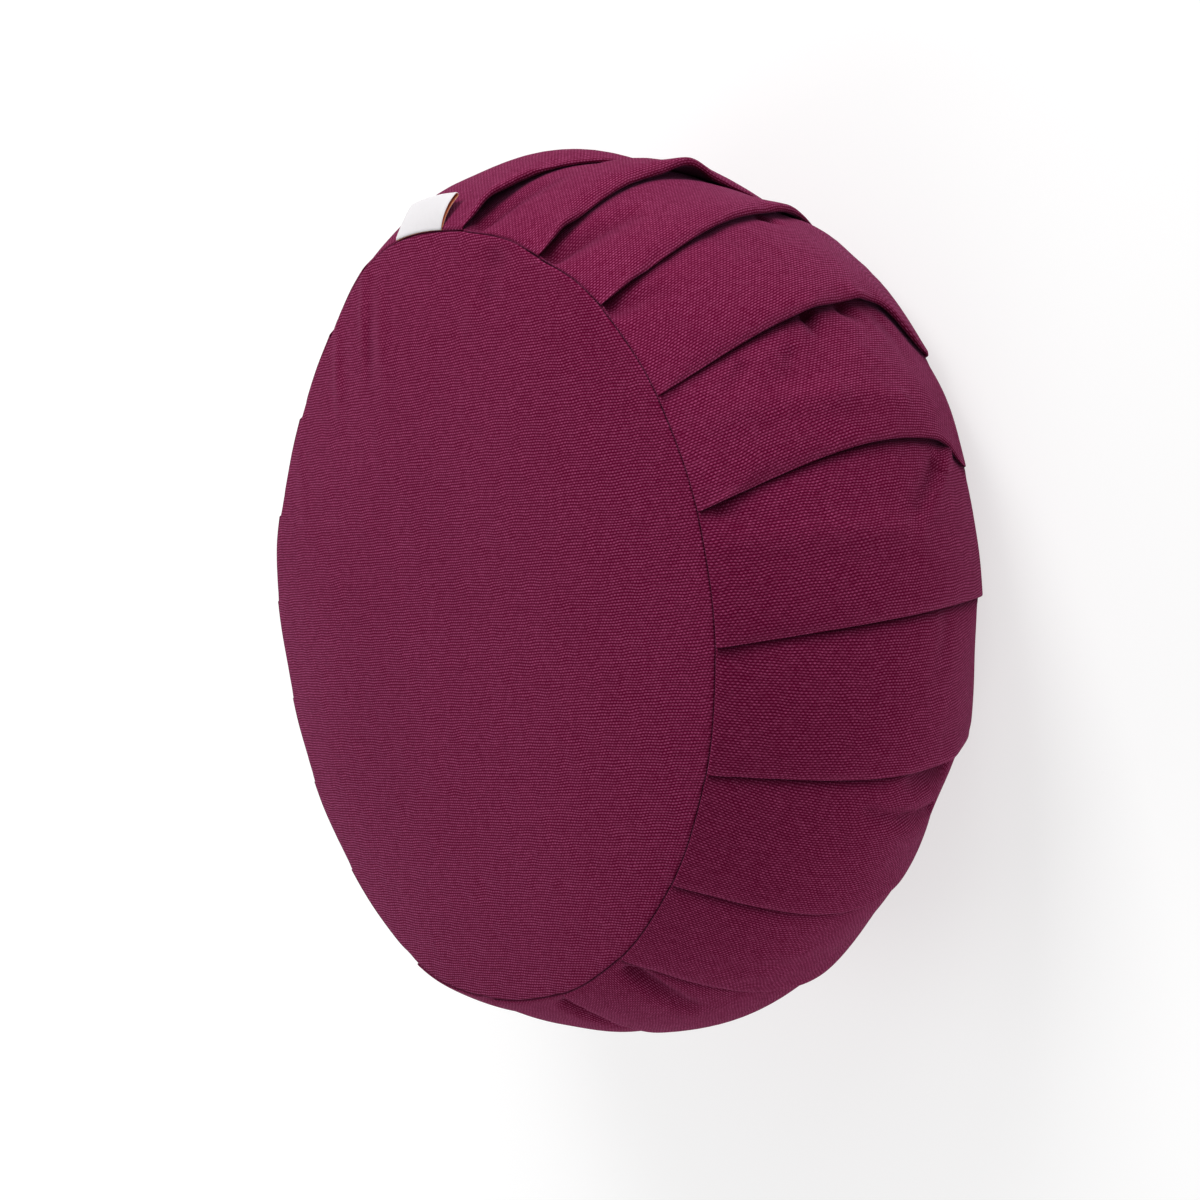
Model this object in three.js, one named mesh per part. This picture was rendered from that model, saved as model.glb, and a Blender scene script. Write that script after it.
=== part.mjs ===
// A zafu: a round, firmly filled meditation cushion that lies on its base. Two round canvas panels are sewn to
// a side band folded into knife pleats, and a small folded label is caught in the top seam.
// Millimetres, +Z up, origin on the floor under the middle of the base. Turns are degrees clockwise from +X,
// seen from above, which is the way the pleats are pressed.
import * as THREE from "three";

// Driving dimensions of the filled cushion
const SEAM_RADIUS = 142; // mean radius of both sewn seams
const SEAM_OVAL = 5; // the seams are a little oval, by this much each way
const BAND_HEIGHT = 120; // from seam to seam
const BAND_BULGE = 21; // how far the band swells past the seams at mid height
const BULGE_OVAL = 3.6; // the swelling evens out most of the seams' oval
const BULGE_THREE = 1.5; // and has three slight corners
const BASE_RISE = 9; // height of the base seam above the floor
const BASE_FLAT = 0.78; // share of the base panel's radius that lies flat
const BASE_CURL = 1.7; // how sharply the base panel turns up to its seam
const TOP_CROWN = 11; // rise of the top panel from its seam to its middle
const CROWN_POWER = 3; // a flat middle that rolls off towards the seam

// Cloth
const PANEL_CLOTH = 1.6;
const SEAM_CLOTH = 0.9; // a panel is pressed thinner where it is sewn
const PRESSED_FROM = 0.9; // share of the radius where that starts
const PIECE_GAP = 0.3; // clearance between neighbouring pieces
const PANEL_RINGS = [
  { share: 0, count: 1 },
  { share: 0.3, count: 18 },
  { share: 0.55, count: 36 },
  { share: BASE_FLAT, count: 54 },
  { share: PRESSED_FROM, count: 72 },
  { share: 0.985, count: 72 },
];
const RIM_RING = { share: 1, count: 72 };

// Knife pleats
const LIP = 1.9; // thickness of a folded edge, two layers of canvas
const LIP_SHARE = 0.6; // and at most this share of how high it stands
const LIP_ROUND = 1.2; // how far the nose of the fold stands out past its layers
const TUCK = 9; // depth of the open fold under each lip
const TUCK_GAP = 0.6; // clearance left between the layers at the bottom of a fold
const SEAM_LIFT = 1.2; // step at each fold where it is sewn flat into a seam
const SEWN_STEP = 0.4; // and how far apart the corners of that step lie along the seam
const SEWN_DROPS = [1, 0.75, 0.45, 0.15]; // heights of those corners, as shares of the step
const PLEAT_RAMP = 1.7; // the cloth climbs to its fold edge with this power
const PLEAT_PUFF = 1.5; // extra swelling between two folds at mid height
const OPEN_WITHIN = 7; // the folds open up within this distance of a seam
const PLEAT_SHARES = [0, 0.2, 0.45, 0.7, 0.9]; // stations across one pleat, from the last fold to its own
const SEAM_DISTANCES = [0, 2.5, 7, 16, 30, 45]; // sections below each seam, besides the one at mid height

// One row for each fold: where it meets the top seam, how far its lower end and its middle wander from there
// (all in degrees), how high it stands at its highest, and how far down the band that is.
const PLEATS = [
  { turn: 10.8, foot: -2.0, lean: -1.0, lift: 5.5, peak: 0.4 },
  { turn: 29.1, foot: -5.0, lean: -1.5, lift: 7.0, peak: 0.45 },
  { turn: 44.1, foot: -8.0, lean: -2.0, lift: 5.0, peak: 0.6 },
  { turn: 60.7, foot: -8.0, lean: -1.0, lift: 5.0, peak: 0.65 },
  { turn: 77.2, foot: -4.5, lean: -1.3, lift: 4.6, peak: 0.7 },
  { turn: 95.9, foot: -0.5, lean: -0.8, lift: 3.8, peak: 0.65 },
  { turn: 114.4, foot: 1.0, lean: -0.5, lift: 3.8, peak: 0.65 },
  { turn: 134.3, foot: 0.5, lean: 0.6, lift: 3.4, peak: 0.5 },
  { turn: 154.8, foot: -3.0, lean: -0.8, lift: 3.4, peak: 0.5 },
  { turn: 171.1, foot: 2.0, lean: 1.2, lift: 4.2, peak: 0.4 },
  { turn: 189.6, foot: -1.0, lean: 0.8, lift: 6.4, peak: 0.45 },
  { turn: 207.4, foot: -3.0, lean: -1.0, lift: 3.6, peak: 0.55 },
  { turn: 225.9, foot: -2.0, lean: 0.5, lift: 5.0, peak: 0.5 },
  { turn: 243.6, foot: -4.0, lean: -1.2, lift: 4.0, peak: 0.6 },
  { turn: 262.0, foot: -1.0, lean: 0.7, lift: 3.6, peak: 0.4 },
  { turn: 280.3, foot: 1.0, lean: -0.6, lift: 4.8, peak: 0.5 },
  { turn: 298.2, foot: -2.5, lean: -1.4, lift: 3.8, peak: 0.6 },
  { turn: 316.6, foot: -5.0, lean: -0.9, lift: 4.4, peak: 0.45 },
  { turn: 334.4, foot: -3.0, lean: 0.4, lift: 3.6, peak: 0.5 },
  { turn: 351.0, foot: -4.0, lean: -1.0, lift: 5.0, peak: 0.5 },
];

// Label, a woven strip folded in half with both ends in the top seam
const LABEL_WIDTH = 30;
const LABEL_TURN = -0.7; // middle of the label
const LABEL_LENGTH = 15; // from the seam to its fold
const LABEL_CLOTH = 1;
const LABEL_OPEN = 1.2; // the two layers stand this far apart near the fold
const LABEL_ROOT_OUT = 0.7; // where it leaves the seam
const LABEL_ROOT_UP = 1.6;
const LABEL_DROOP = [12, 50]; // degrees below level at the seam and at the fold
const LABEL_STEPS = 5; // stations along each layer
const LABEL_STATIONS = 6; // sections across the width
const FOLD_STEPS = 4; // facets round the fold

// Colours and finish
const CANVAS = { color: 0x6b2240, roughness: 0.95, metalness: 0 };
const WOVEN_WHITE = { color: 0xe9e4e6, roughness: 0.85, metalness: 0 };

const TOP_SEAM = BASE_RISE + BAND_HEIGHT;
const RADIAN = Math.PI / 180;

function seamRadius(turn) {
  return SEAM_RADIUS + SEAM_OVAL * Math.sin(2 * turn * RADIAN);
}

// Radius of the band's lowest layer, with down running from 0 at the top seam to 1 at the base seam.
function bandRadius(turn, down) {
  const uneven = BULGE_THREE * Math.cos(3 * turn * RADIAN) - BULGE_OVAL * Math.sin(2 * turn * RADIAN);
  return seamRadius(turn) + (BAND_BULGE + uneven) * Math.sin(Math.PI * down);
}

function place(radius, turn, height) {
  return new THREE.Vector3(radius * Math.cos(turn * RADIAN), -radius * Math.sin(turn * RADIAN), height);
}

// A closed solid from rings listed from one pole over the outside to the other. Rings of equal size are joined
// point to point, and others by turn. A pole is a ring of one point.
function solidOfRings(rings) {
  const points = rings.flatMap((ring) => ring.map((station) => station.point));
  const triangles = [];
  let start = 0;
  for (let level = 0; level + 1 < rings.length; level++) {
    const [lower, upper] = [rings[level], rings[level + 1]];
    const nextStart = start + lower.length;
    const matched = lower.length === upper.length;
    let [i, j] = [0, 0];
    while (i < lower.length || j < upper.length) {
      const a = start + (i % lower.length);
      const b = nextStart + (j % upper.length);
      const lowerLeft = lower.length === 1 || i === lower.length;
      const upperLeft = upper.length === 1 || j === upper.length;
      if (lowerLeft && upperLeft) break;
      const lowerFirst = matched ? i <= j : turnAfter(lower, i) <= turnAfter(upper, j);
      if (upperLeft || (!lowerLeft && lowerFirst)) {
        triangles.push(a, b, start + ((i + 1) % lower.length));
        i++;
      } else {
        triangles.push(a, b, nextStart + ((j + 1) % upper.length));
        j++;
      }
    }
    start = nextStart;
  }
  return geometryOf(points, triangles);
}

function turnAfter(ring, index) {
  return index + 1 < ring.length ? ring[index + 1].turn : ring[0].turn + 360;
}

function geometryOf(points, triangles) {
  const geometry = new THREE.BufferGeometry().setFromPoints(points);
  geometry.setIndex(triangles);
  geometry.computeVertexNormals();
  return geometry;
}

// Panels: crowned on top, flat with a turned-up rim below
function panelCloth(share) {
  const pressed = Math.max(0, (share - PRESSED_FROM) / (1 - PRESSED_FROM));
  return PANEL_CLOTH + (SEAM_CLOTH - PANEL_CLOTH) * pressed;
}

function crownHeight(share) {
  return TOP_SEAM + TOP_CROWN * (1 - share ** CROWN_POWER);
}

function baseUnderside(share) {
  const seamEdge = BASE_RISE - PIECE_GAP - SEAM_CLOTH;
  const curl = Math.max(0, (share - BASE_FLAT) / (1 - BASE_FLAT));
  return seamEdge * curl ** BASE_CURL;
}

function panelRing({ share, count }, heightAt) {
  return Array.from({ length: count }, (_, step) => {
    const turn = (360 * step) / count;
    return { turn, point: place(share * seamRadius(turn), turn, heightAt(share)) };
  });
}

function panelSolid(underside) {
  const rings = [...PANEL_RINGS, RIM_RING];
  const topside = (share) => underside(share) + panelCloth(share);
  const under = rings.map((ring) => panelRing(ring, underside));
  const over = rings.map((ring) => panelRing(ring, topside)).reverse();
  return solidOfRings([...under, ...over]);
}

// Pleated band with its filling
function foldTurn(pleat, down) {
  return pleat.turn + pleat.foot * down + pleat.lean * Math.sin(Math.PI * down);
}

function foldLift(pleat, down) {
  const skew = Math.log(0.5) / Math.log(pleat.peak);
  return SEAM_LIFT + (pleat.lift - SEAM_LIFT) * Math.sin(Math.PI * down ** skew);
}

// One pleat of one section, as stations in order of turn along the cloth. Sewn flat at a seam its cloth only
// steps down at the fold; away from the seams the fold overlaps the next pleat and is open underneath.
function pleatStations(before, pleat, down, opening) {
  const from = foldTurn(before, down);
  const to = foldTurn(pleat, down);
  const lift = foldLift(pleat, down);
  const lip = Math.min(LIP, LIP_SHARE * lift);
  const perMillimetre = 1 / (bandRadius(to, down) * RADIAN);
  const puff = PLEAT_PUFF * Math.sin(Math.PI * down);
  const span = to - from - 2 * LIP_ROUND * perMillimetre;
  const climb = PLEAT_SHARES.map((share) => ({
    open: from + share * span,
    sewn: from + 2 * SEWN_STEP * perMillimetre + share * span,
    high: lift * share ** PLEAT_RAMP + puff * Math.sin(Math.PI * share),
    flat: lift * share ** PLEAT_RAMP,
  }));
  const beyond = (anchor, open, sewn, high, flat) => ({
    open: anchor + open * perMillimetre,
    sewn: anchor + sewn * perMillimetre,
    high,
    flat,
  });
  const stations = [
    beyond(from, -TUCK, SEWN_STEP, 0, 0),
    ...climb,
    beyond(to, -LIP_ROUND, -3 * SEWN_STEP, lift, SEWN_DROPS[0] * lift),
    beyond(to, 0, -2 * SEWN_STEP, lift - lip / 2, SEWN_DROPS[1] * lift),
    beyond(to, -LIP_ROUND, -SEWN_STEP, lift - lip, SEWN_DROPS[2] * lift),
    beyond(to, -TUCK, 0, TUCK_GAP, SEWN_DROPS[3] * lift),
  ];
  return stations.map(({ open, sewn, high, flat }) => {
    const turn = sewn + (open - sewn) * opening;
    const height = flat + (high - flat) * opening;
    const radius = bandRadius(turn, down) + height;
    return { turn, point: place(radius, turn, TOP_SEAM - BAND_HEIGHT * down) };
  });
}

function bandSection(down) {
  const seamDistance = BAND_HEIGHT * Math.min(down, 1 - down);
  const opening = THREE.MathUtils.smoothstep(seamDistance, 0, OPEN_WITHIN);
  const last = PLEATS[PLEATS.length - 1];
  return PLEATS.flatMap((pleat, index) => {
    const before = index ? PLEATS[index - 1] : { ...last, turn: last.turn - 360 };
    return pleatStations(before, pleat, down, opening);
  });
}

function pleatedBand() {
  const fromTop = SEAM_DISTANCES.map((distance) => distance / BAND_HEIGHT);
  const downs = [...fromTop, 0.5, ...fromTop.map((down) => 1 - down).reverse()];
  const onBasePanel = (share) => baseUnderside(share) + panelCloth(share) + PIECE_GAP;
  return solidOfRings([
    ...PANEL_RINGS.map((ring) => panelRing(ring, onBasePanel)),
    ...downs.reverse().map(bandSection),
    ...PANEL_RINGS.map((ring) => panelRing(ring, crownHeight)).reverse(),
  ]);
}

// Label: the cloth's middle line in (out, up) from the seam, out along the lower layer, round the fold and back
function labelLine() {
  const [first, last] = LABEL_DROOP.map((degrees) => degrees * RADIAN);
  const middle = [];
  const spot = new THREE.Vector2(LABEL_ROOT_OUT, LABEL_ROOT_UP);
  for (let step = 0; step <= LABEL_STEPS; step++) {
    const share = step / LABEL_STEPS;
    const droop = first + (last - first) * share;
    const along = new THREE.Vector2(Math.cos(droop), -Math.sin(droop));
    const apart = (LABEL_CLOTH + PIECE_GAP + (LABEL_OPEN - PIECE_GAP) * Math.sin((Math.PI / 2) * share)) / 2;
    middle.push({ spot: spot.clone(), along, across: new THREE.Vector2(-along.y, along.x), apart });
    spot.addScaledVector(along, LABEL_LENGTH / LABEL_STEPS);
  }
  const shifted = (row, side) => row.spot.clone().addScaledVector(row.across, side * row.apart);
  const tip = middle[middle.length - 1];
  const nose = Array.from({ length: FOLD_STEPS - 1 }, (_, step) => {
    const angle = Math.PI * ((step + 1) / FOLD_STEPS - 0.5);
    return tip.spot
      .clone()
      .addScaledVector(tip.along, tip.apart * Math.cos(angle))
      .addScaledVector(tip.across, tip.apart * Math.sin(angle));
  });
  const upper = middle.map((row) => shifted(row, 1)).reverse();
  return [...middle.map((row) => shifted(row, -1)), ...nose, ...upper];
}

// The label's section as two edges of its cloth, half its thickness to either side of the middle line
function labelEdges() {
  const line = labelLine();
  const sides = line.map((spot, index) => {
    const before = line[Math.max(0, index - 1)];
    const after = line[Math.min(line.length - 1, index + 1)];
    const along = after.clone().sub(before).normalize();
    const across = new THREE.Vector2(-along.y, along.x).multiplyScalar(LABEL_CLOTH / 2);
    return { inner: spot.clone().add(across), outer: spot.clone().sub(across) };
  });
  return [sides.map((side) => side.inner), sides.map((side) => side.outer)];
}

function labelTab() {
  const [inner, outer] = labelEdges();
  const count = inner.length;
  const outline = [...outer, ...inner.slice().reverse()];
  const halfTurn = LABEL_WIDTH / 2 / (SEAM_RADIUS * RADIAN);
  const points = [];
  const triangles = [];
  for (let station = 0; station < LABEL_STATIONS; station++) {
    const turn = LABEL_TURN + halfTurn * ((2 * station) / (LABEL_STATIONS - 1) - 1);
    for (const spot of outline) points.push(place(seamRadius(turn) + spot.x, turn, TOP_SEAM + spot.y));
  }
  const size = outline.length;
  const lastStart = size * (LABEL_STATIONS - 1);
  for (let start = 0; start < lastStart; start += size) {
    for (let i = 0; i < size; i++) {
      const [a, b] = [start + i, start + ((i + 1) % size)];
      triangles.push(a, b, a + size, b, b + size, a + size);
    }
  }
  for (let i = 0; i + 1 < count; i++) {
    const [a, b, c, d] = [i, i + 1, size - 2 - i, size - 1 - i];
    triangles.push(a, d, b, b, d, c);
    triangles.push(...[a, b, d, b, c, d].map((index) => lastStart + index));
  }
  return geometryOf(points, triangles);
}

function addPiece(group, name, geometry, finish) {
  const mesh = new THREE.Mesh(geometry, new THREE.MeshStandardMaterial(finish));
  mesh.name = name;
  group.add(mesh);
}

const zafu = new THREE.Group();
addPiece(zafu, "pleated_band", pleatedBand(), CANVAS);
addPiece(zafu, "top_panel", panelSolid((share) => crownHeight(share) + PIECE_GAP), CANVAS);
addPiece(zafu, "base_panel", panelSolid(baseUnderside), CANVAS);
addPiece(zafu, "label_tab", labelTab(), WOVEN_WHITE);

export default zafu;
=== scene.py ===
import math

import bpy
import numpy as np
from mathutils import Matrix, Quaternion, Vector


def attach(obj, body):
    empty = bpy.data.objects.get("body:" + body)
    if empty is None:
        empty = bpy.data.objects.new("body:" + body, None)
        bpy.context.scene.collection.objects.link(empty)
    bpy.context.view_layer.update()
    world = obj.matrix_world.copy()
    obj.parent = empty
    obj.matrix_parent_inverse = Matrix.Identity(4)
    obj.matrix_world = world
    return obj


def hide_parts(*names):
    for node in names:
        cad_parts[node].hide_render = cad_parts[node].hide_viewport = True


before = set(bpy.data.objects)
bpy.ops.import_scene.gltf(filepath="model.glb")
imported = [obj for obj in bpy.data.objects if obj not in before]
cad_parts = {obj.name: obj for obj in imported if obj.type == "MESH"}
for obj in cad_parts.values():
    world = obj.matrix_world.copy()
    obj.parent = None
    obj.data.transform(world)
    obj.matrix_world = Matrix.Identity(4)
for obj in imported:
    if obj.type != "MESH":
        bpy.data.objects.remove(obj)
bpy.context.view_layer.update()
bpy.ops.object.select_all(action="DESELECT")

# Camera
# The cushion lies on its back, so the camera keeps the photograph's angle to the round face, 56 degrees from
# square on, and is rolled until the label is at the upper left and the pleats run to the right.
MM = 0.001
EYE = Vector((58.7, -1010.1, 804.4)) * MM
AIM = Vector((1.6, -25.9, 91.6)) * MM
ROLL = math.radians(-99.8)
FOCAL_PIXELS = 3300
PICTURE_PIXELS = 1200
SENSOR_WIDTH = 36
bpy.ops.object.camera_add(location=EYE)
camera = bpy.context.object
camera.name = "photo_camera"
camera.rotation_mode = "QUATERNION"
camera.rotation_quaternion = (AIM - EYE).to_track_quat("-Z", "Y") @ Quaternion((0, 0, 1), ROLL)
camera.data.sensor_width = SENSOR_WIDTH
camera.data.lens = SENSOR_WIDTH * FOCAL_PIXELS / PICTURE_PIXELS
bpy.context.scene.camera = camera

# Studio
# A plain white table under a white sky, lit by four soft lamps: a strong one on the label's side, and weaker
# ones in front, behind and opposite the label. It is the stage and no part of the cushion.
TABLE_SIZE = 8
TABLE_DROP = 0.2
SKY_WHITE = (1, 1, 1, 1)
SKY_STRENGTH = 0.3
PAPER_FINISH = {
    "Base Color": (0.4, 0.4, 0.4, 1),
    "Roughness": 0.9,
    "Specular IOR Level": 0.1,
    "Emission Color": SKY_WHITE,
    "Emission Strength": 0.65,
}
LAMPS = [
    {"name": "key_lamp", "place": (1.38, -0.10, 0.95), "size": 0.8, "watts": 20},
    {"name": "front_lamp", "place": (1.0, -1.0, 0.8), "size": 0.6, "watts": 3.4},
    {"name": "side_lamp", "place": (-0.4, 1.4, 0.7), "size": 1.0, "watts": 10},
    {"name": "low_lamp", "place": (-1.5, -0.1, 0.5), "size": 1.0, "watts": 6.4},
]


def new_material(name, finish):
    """A material with the given finish on its shader."""
    material = bpy.data.materials.new(name)
    material.use_nodes = True
    shader = material.node_tree.nodes["Principled BSDF"]
    for socket, value in finish.items():
        shader.inputs[socket].default_value = value
    return material


bpy.context.scene.view_settings.view_transform = "Standard"
world = bpy.data.worlds.new("white_sky")
bpy.context.scene.world = world
world.use_nodes = True
sky = world.node_tree.nodes["Background"]
sky.inputs["Color"].default_value = SKY_WHITE
sky.inputs["Strength"].default_value = SKY_STRENGTH
bpy.ops.mesh.primitive_plane_add(size=TABLE_SIZE, location=(0, 0, -TABLE_DROP * MM))
table = bpy.context.object
table.name = "table"
table.data.materials.append(new_material("white_paper", PAPER_FINISH))
for lamp in LAMPS:
    bpy.ops.object.light_add(type="AREA", location=lamp["place"])
    softbox = bpy.context.object
    softbox.name = lamp["name"]
    softbox.data.size = lamp["size"]
    softbox.data.energy = lamp["watts"]
    softbox.rotation_mode = "QUATERNION"
    softbox.rotation_quaternion = (-softbox.location).to_track_quat("-Z", "Y")
bpy.ops.object.select_all(action="DESELECT")

# Pleated side band, with the filling that it holds
# One long strip of burgundy cotton canvas, folded into knife pleats that are all pressed the same way and
# sewn flat into both seams. The loose filling swells it, and the folds gape where it is slack.
SEAM_RADIUS = 142
SEAM_OVAL = 5
BAND_HEIGHT = 120
BAND_BULGE = 21
BULGE_OVAL = 3.6
BULGE_THREE = 1.5
BASE_SEAM = 9
TOP_SEAM = BASE_SEAM + BAND_HEIGHT
# Where the seams wander from their oval: degrees clockwise from the label's side, and millimetres out
SEAM_WANDERS = [
    {"turn": -10, "wide": 13, "out": 4.4},
    {"turn": -35, "wide": 7, "out": -1.2},
    {"turn": -52, "wide": 18, "out": -3.6},
    {"turn": -78, "wide": 8, "out": 1.4},
    {"turn": -100, "wide": 16, "out": -2.0},
    {"turn": -152, "wide": 18, "out": 3.8},
    {"turn": 29, "wide": 5, "out": -1.6},
]
# Where the filling swells the band or leaves it slack: also the share of the way down, and its reach there
SWELLS = [
    {"turn": -15, "down": 0.32, "wide": 5, "tall": 0.20, "out": 2.2},
    {"turn": -6, "down": 0.32, "wide": 6, "tall": 0.20, "out": -1.3},
    {"turn": 2, "down": 0.58, "wide": 8, "tall": 0.24, "out": 0.9},
    {"turn": 12.5, "down": 0.52, "wide": 3.5, "tall": 0.18, "out": -3.4},
    {"turn": 16, "down": 0.55, "wide": 2.5, "tall": 0.15, "out": 1.0},
    {"turn": 29, "down": 0.82, "wide": 5, "tall": 0.14, "out": 2.0},
    {"turn": 36, "down": 0.90, "wide": 4, "tall": 0.15, "out": 2.6},
    {"turn": 48, "down": 0.90, "wide": 9, "tall": 0.25, "out": 3.0},
    {"turn": 67, "down": 0.95, "wide": 6, "tall": 0.25, "out": 2.2},
    {"turn": 103, "down": 0.97, "wide": 12, "tall": 0.30, "out": -2.4},
    {"turn": 129, "down": 0.95, "wide": 8, "tall": 0.30, "out": -4.4},
    {"turn": 146, "down": 0.75, "wide": 6, "tall": 0.25, "out": -2.8},
    {"turn": 165, "down": 0.55, "wide": 10, "tall": 0.30, "out": 1.4},
    {"turn": 181, "down": 0.35, "wide": 4, "tall": 0.20, "out": 1.2},
    {"turn": 188, "down": 0.26, "wide": 5, "tall": 0.15, "out": -1.6},
    {"turn": 205, "down": 0.10, "wide": 14, "tall": 0.16, "out": 1.4},
]
# Drag wrinkles and dents. Each runs along a line from its deep end to its fine end (degrees, share of the way
# down), with half its width and how far it stands out in millimetres
WRINKLES = [
    {"from": (13.0, 0.05), "to": (14.8, 0.26), "wide": 6, "out": -5.0},
    {"from": (30.8, 0.04), "to": (31.8, 0.24), "wide": 5.5, "out": -5.0},
    {"from": (36.8, 0.67), "to": (38.0, 0.69), "wide": 2.6, "out": -2.2},
    {"from": (45.4, 0.03), "to": (46.4, 0.14), "wide": 5, "out": -3.4},
    {"from": (41.0, 0.42), "to": (46.0, 0.56), "wide": 8, "out": -0.7},
    {"from": (55.6, 0.525), "to": (57.8, 0.515), "wide": 3.0, "out": -3.2},
    {"from": (58.6, 0.51), "to": (69.0, 0.20), "wide": 9, "out": -1.0},
    {"from": (66.0, 0.50), "to": (60.5, 0.76), "wide": 9, "out": 0.8},
    {"from": (54.6, 0.68), "to": (56.0, 0.73), "wide": 3.4, "out": -2.6},
    {"from": (60.6, 0.24), "to": (62.8, 0.17), "wide": 2.4, "out": -1.6},
    {"from": (60.4, 0.40), "to": (63.2, 0.34), "wide": 2.4, "out": -1.6},
    {"from": (67.2, 0.46), "to": (66.2, 0.10), "wide": 5, "out": 1.8},
    {"from": (68.6, 0.72), "to": (67.2, 0.48), "wide": 3.4, "out": 1.4},
    {"from": (55.8, 0.82), "to": (63.0, 0.85), "wide": 5, "out": -1.2},
    {"from": (77.9, 0.05), "to": (79.0, 0.08), "wide": 3, "out": -1.8},
    {"from": (77.2, 0.80), "to": (84.0, 0.60), "wide": 3.4, "out": -3.6},
    {"from": (84.8, 0.62), "to": (82.4, 0.03), "wide": 5, "out": 1.8},
    {"from": (75.0, 0.90), "to": (84.0, 0.66), "wide": 3, "out": 3.0},
    {"from": (96.8, 0.03), "to": (98.2, 0.09), "wide": 3.5, "out": -1.0},
    {"from": (97.0, 0.74), "to": (104.0, 0.66), "wide": 5, "out": -1.1},
    {"from": (111.9, 0.73), "to": (112.5, 0.86), "wide": 4, "out": -1.0},
    {"from": (124.6, 0.82), "to": (119.0, 0.44), "wide": 2.5, "out": -4.0},
    {"from": (126.6, 0.76), "to": (122.4, 0.48), "wide": 4, "out": 1.4},
    {"from": (121.0, 0.78), "to": (119.4, 0.60), "wide": 3, "out": 1.4},
    {"from": (117.2, 0.82), "to": (115.8, 0.62), "wide": 5, "out": -6.8},
    {"from": (144.0, 0.30), "to": (143.0, 0.60), "wide": 4, "out": 0.6},
    {"from": (148.0, 0.30), "to": (147.5, 0.56), "wide": 4, "out": 0.6},
    {"from": (156.2, 0.06), "to": (159.6, 0.26), "wide": 4, "out": -6.0},
    {"from": (173.8, 0.06), "to": (175.8, 0.26), "wide": 4, "out": -6.0},
]
MM_PER_DEGREE = 2.8
BAND_LENGTH = 132
WRINKLE_FALL = 8
WRINKLE_TAPER = 0.65
LIP = 2.8
LIP_SHARE = 0.68
TUCK = 14
TUCK_GAP = 0.3
SEAM_LIFT = 0.8
PLEAT_RAMP = 1.7
GAPE_RAMP = 3
UNDER_RAMP = 1.5
PLEAT_PUFF = 0.6
PUFF_AT_SEAM = 0.35
PUFF_FALL = 5
GROOVE = 3.5
HOOK_REACH = 0.09
# How far the worn edge, with its painted highlight, reaches back from each fold, and how far the painted
# shade reaches past the last fold
WEAR_HIGHLIGHT_REACH = 1.6
PAINTED_SHADE_REACH = 2.4
# One row for each fold: where it leaves the top seam, how far its lower end, its middle and the hook at its
# very end wander from there in degrees, how high it stands, and how far down that is
PLEATS = [
    {"turn": 10.5, "foot": 0.0, "lean": -0.3, "hook": 0.0, "lift": 2.0, "peak": 0.4},
    {"turn": 29.1, "foot": -2.0, "lean": -4.0, "hook": 0.0, "lift": 2.8, "peak": 0.45},
    {"turn": 44.2, "foot": -11.5, "lean": -0.2, "hook": 0.0, "lift": 3.4, "peak": 0.6},
    {"turn": 60.6, "foot": -8.4, "lean": -1.0, "hook": 8.0, "lift": 3.4, "peak": 0.6},
    {"turn": 77.3, "foot": -3.2, "lean": -2.0, "hook": 2.8, "lift": 3.0, "peak": 0.65},
    {"turn": 95.8, "foot": -0.3, "lean": -0.9, "hook": 0.0, "lift": 2.6, "peak": 0.65},
    {"turn": 114.4, "foot": 2.6, "lean": -1.3, "hook": 0.0, "lift": 2.6, "peak": 0.65},
    {"turn": 134.3, "foot": 1.5, "lean": -0.3, "hook": 0.0, "lift": 2.6, "peak": 0.5},
    {"turn": 153.4, "foot": -0.5, "lean": -0.7, "hook": 0.0, "lift": 2.4, "peak": 0.5},
    {"turn": 170.8, "foot": 4.0, "lean": 4.0, "hook": 0.0, "lift": 2.4, "peak": 0.4},
    {"turn": 189.6, "foot": -1.0, "lean": 0.8, "hook": 2.0, "lift": 3.4, "peak": 0.45},
    {"turn": 209.4, "foot": -3.0, "lean": -1.0, "hook": 3.0, "lift": 3.4, "peak": 0.55},
    {"turn": 229.9, "foot": -2.0, "lean": 0.5, "hook": 0.0, "lift": 3.4, "peak": 0.5},
    {"turn": 245.6, "foot": -4.0, "lean": -1.2, "hook": 4.0, "lift": 3.4, "peak": 0.6},
    {"turn": 259.5, "foot": -1.0, "lean": 0.7, "hook": 0.0, "lift": 3.4, "peak": 0.4},
    {"turn": 275.5, "foot": 1.0, "lean": -0.6, "hook": 0.0, "lift": 3.4, "peak": 0.5},
    {"turn": 290.0, "foot": -2.5, "lean": -1.4, "hook": 3.0, "lift": 3.4, "peak": 0.6},
    {"turn": 308.8, "foot": -5.0, "lean": -0.9, "hook": 5.0, "lift": 3.4, "peak": 0.45},
    {"turn": 327.0, "foot": -3.0, "lean": 0.4, "hook": 2.0, "lift": 3.4, "peak": 0.5},
    {"turn": 342.0, "foot": -3.0, "lean": -1.0, "hook": 2.0, "lift": 1.6, "peak": 0.5},
]
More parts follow.
